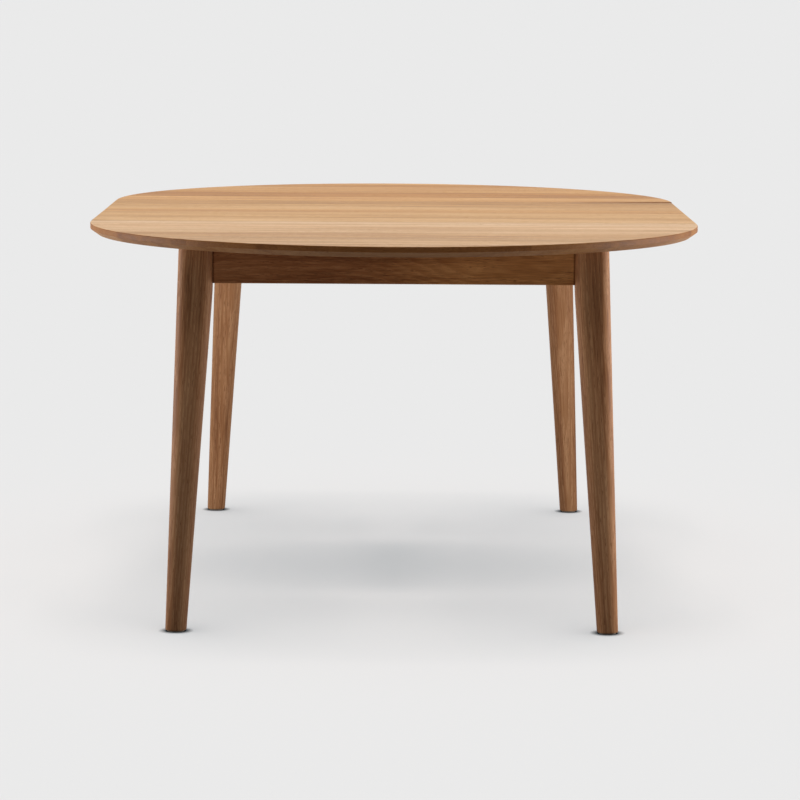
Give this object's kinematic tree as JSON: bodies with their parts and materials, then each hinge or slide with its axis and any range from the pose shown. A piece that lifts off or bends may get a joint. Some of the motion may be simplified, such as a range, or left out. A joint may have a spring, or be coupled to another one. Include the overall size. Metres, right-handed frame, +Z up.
{
  "type": "extending table",
  "caption": "Extending oak dining table: a round top in halves on geared slides, with a loose leaf between them, on splayed tapering legs that travel with the halves.",
  "frame": {"origin": "on the floor under the middle of the table", "axes": "+Z up, +Y along the direction in which the table extends, from the front half to the back half, +X to the right as seen from the front"},
  "size_m": [1.2, 1.7998, 0.744],
  "materials": {
    "oak_top": "pale oiled oak boards, grain across the table",
    "oak_frame": "oiled oak, grain along each piece",
    "beech_underframe": "plain beech, waxed on the running faces",
    "gear_steel": "machined steel",
    "lock_zinc": "satin cast zinc",
    "zinc_fixings": "zinc-plated steel",
    "glide_plastic": "brown nylon"
  },
  "bodies": {
    "centre_slides": {"pinion_axle_left": "gear_steel", "pinion_axle_right": "gear_steel", "slide_centre_left": "beech_underframe", "slide_centre_right": "beech_underframe", "slide_tie": "beech_underframe", "tie_screws": "zinc_fixings"},
    "back_half": {"back_apron": "oak_frame", "back_top": "oak_top", "button_screws_back": "zinc_fixings", "corner_brace_back_left": "beech_underframe", "corner_brace_back_right": "beech_underframe", "foot_glide_back_left": "glide_plastic", "foot_glide_back_right": "glide_plastic", "leg_back_left": "oak_frame", "leg_back_right": "oak_frame", "leg_bolts_back": "zinc_fixings", "leg_nuts_back": "zinc_fixings", "lock_studs_back": "zinc_fixings", "rack_back_left": "gear_steel", "rack_back_right": "gear_steel", "side_apron_back_left": "oak_frame", "side_apron_back_right": "oak_frame", "slide_back_left": "beech_underframe", "slide_back_right": "beech_underframe", "slide_screws_back": "zinc_fixings", "top_buttons_back": "beech_underframe"},
    "front_half": {"button_screws_front": "zinc_fixings", "corner_brace_front_left": "beech_underframe", "corner_brace_front_right": "beech_underframe", "foot_glide_front_left": "glide_plastic", "foot_glide_front_right": "glide_plastic", "front_apron": "oak_frame", "front_top": "oak_top", "leg_bolts_front": "zinc_fixings", "leg_front_left": "oak_frame", "leg_front_right": "oak_frame", "leg_nuts_front": "zinc_fixings", "lock_pivots_front": "zinc_fixings", "rack_front_left": "gear_steel", "rack_front_right": "gear_steel", "side_apron_front_left": "oak_frame", "side_apron_front_right": "oak_frame", "slide_front_left": "beech_underframe", "slide_front_right": "beech_underframe", "slide_screws_front": "zinc_fixings", "top_buttons_front": "beech_underframe"},
    "leaf": {"batten_screws": "zinc_fixings", "leaf_batten_left": "beech_underframe", "leaf_batten_right": "beech_underframe", "leaf_panel": "oak_top", "lock_pivots_leaf": "zinc_fixings", "lock_studs_leaf": "zinc_fixings"},
    "lock_front_left": {"lock_lever_front_left": "lock_zinc"},
    "lock_front_right": {"lock_lever_front_right": "lock_zinc"},
    "lock_leaf_left": {"lock_lever_leaf_left": "lock_zinc"},
    "lock_leaf_right": {"lock_lever_leaf_right": "lock_zinc"},
    "pinion_left": {"pinion_left": "gear_steel"},
    "pinion_right": {"pinion_right": "gear_steel"}
  },
  "joints": [
    {"name": "front_half_slide", "type": "slide", "parent": "centre_slides", "child": "front_half", "axis": [0, 1, 0], "range_m": [0, 0.2998]},
    {"name": "back_half_slide", "type": "slide", "parent": "centre_slides", "child": "back_half", "axis": [0, -1, 0], "range_m": [0, 0.2998]},
    {"name": "leaf_lift", "type": "slide", "parent": "centre_slides", "child": "leaf", "axis": [0, 0, 1], "range_m": [0, 1]},
    {"name": "pinion_left_turn", "type": "hinge", "parent": "centre_slides", "child": "pinion_left", "pos_m": [-0.235, 0, 0.6875], "axis": [0, 0, -1], "range_deg": [0, 781]},
    {"name": "pinion_right_turn", "type": "hinge", "parent": "centre_slides", "child": "pinion_right", "pos_m": [0.235, 0, 0.6875], "axis": [0, 0, 1], "range_deg": [0, 781]},
    {"name": "lock_front_left_turn", "type": "hinge", "parent": "front_half", "child": "lock_front_left", "pos_m": [-0.46, -0.34, 0.7183], "axis": [0, 0, -1], "range_deg": [0, 90]},
    {"name": "lock_front_right_turn", "type": "hinge", "parent": "front_half", "child": "lock_front_right", "pos_m": [0.46, -0.34, 0.7183], "axis": [0, 0, 1], "range_deg": [0, 90]},
    {"name": "lock_leaf_left_turn", "type": "hinge", "parent": "leaf", "child": "lock_leaf_left", "pos_m": [-0.46, 0.26, 0.7183], "axis": [0, 0, -1], "range_deg": [0, 90]},
    {"name": "lock_leaf_right_turn", "type": "hinge", "parent": "leaf", "child": "lock_leaf_right", "pos_m": [0.46, 0.26, 0.7183], "axis": [0, 0, 1], "range_deg": [0, 90]}
  ],
  "couplings": [
    {"joint": "back_half_slide", "follows": "front_half_slide", "ratio": 1},
    {"joint": "leaf_lift", "follows": "front_half_slide", "ratio": 3.3333},
    {"joint": "pinion_left_turn", "follows": "front_half_slide", "rad_per_m": 45.455},
    {"joint": "pinion_right_turn", "follows": "front_half_slide", "rad_per_m": 45.455}
  ]
}
